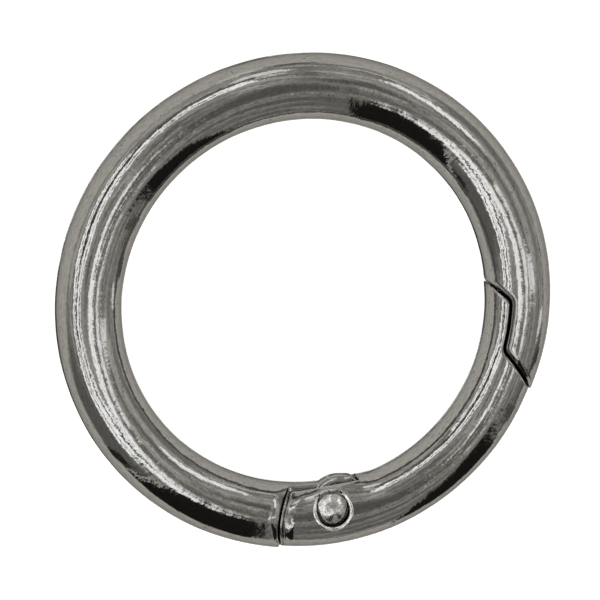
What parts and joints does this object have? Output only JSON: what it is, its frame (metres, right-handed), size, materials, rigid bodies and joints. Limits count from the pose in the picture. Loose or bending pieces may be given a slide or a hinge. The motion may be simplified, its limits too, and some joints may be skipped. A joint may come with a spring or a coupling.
{
  "type": "spring gate key ring",
  "caption": "Round metal key ring with a riveted spring gate that opens inwards to take keys and closes on a stepped lap.",
  "frame": {"origin": "centre of the ring, halfway up its round section", "axes": "+Z along the ring's axis and the hinge's axis, upwards as it lies flat; +X towards the latch; the hinge is near -Y"},
  "size_m": [0.038, 0.0379, 0.005],
  "materials": {
    "ring_plating": "polished dark nickel plating on cast zinc",
    "gate_plating": "polished dark nickel plating on cast zinc",
    "rivet_plating": "hammered head under dark nickel plating",
    "plunger_steel": "plain drawn steel",
    "spring_steel": "bright spring wire"
  },
  "bodies": {
    "ring": {"ring_body": "ring_plating"},
    "gate": {"gate": "gate_plating", "hinge_rivet": "rivet_plating", "return_spring": "spring_steel"},
    "plunger": {"spring_plunger": "plunger_steel"}
  },
  "joints": [
    {"name": "gate_hinge", "type": "hinge", "parent": "ring", "child": "gate", "pos_m": [0.00183, -0.01579, 0], "axis": [0, 0, 1], "range_deg": [0, 30], "stiffness_Nm_per_rad": 0.03, "springref_deg": -51.57},
    {"name": "plunger_slide", "type": "slide", "parent": "gate", "child": "plunger", "axis": [0.9135, 0.4067, 0], "range_m": [0, 0.0009], "deforming": ["return_spring"]}
  ],
  "couplings": [
    {"joint": "plunger_slide", "follows": "gate_hinge", "m_per_rad": 0.001576}
  ]
}
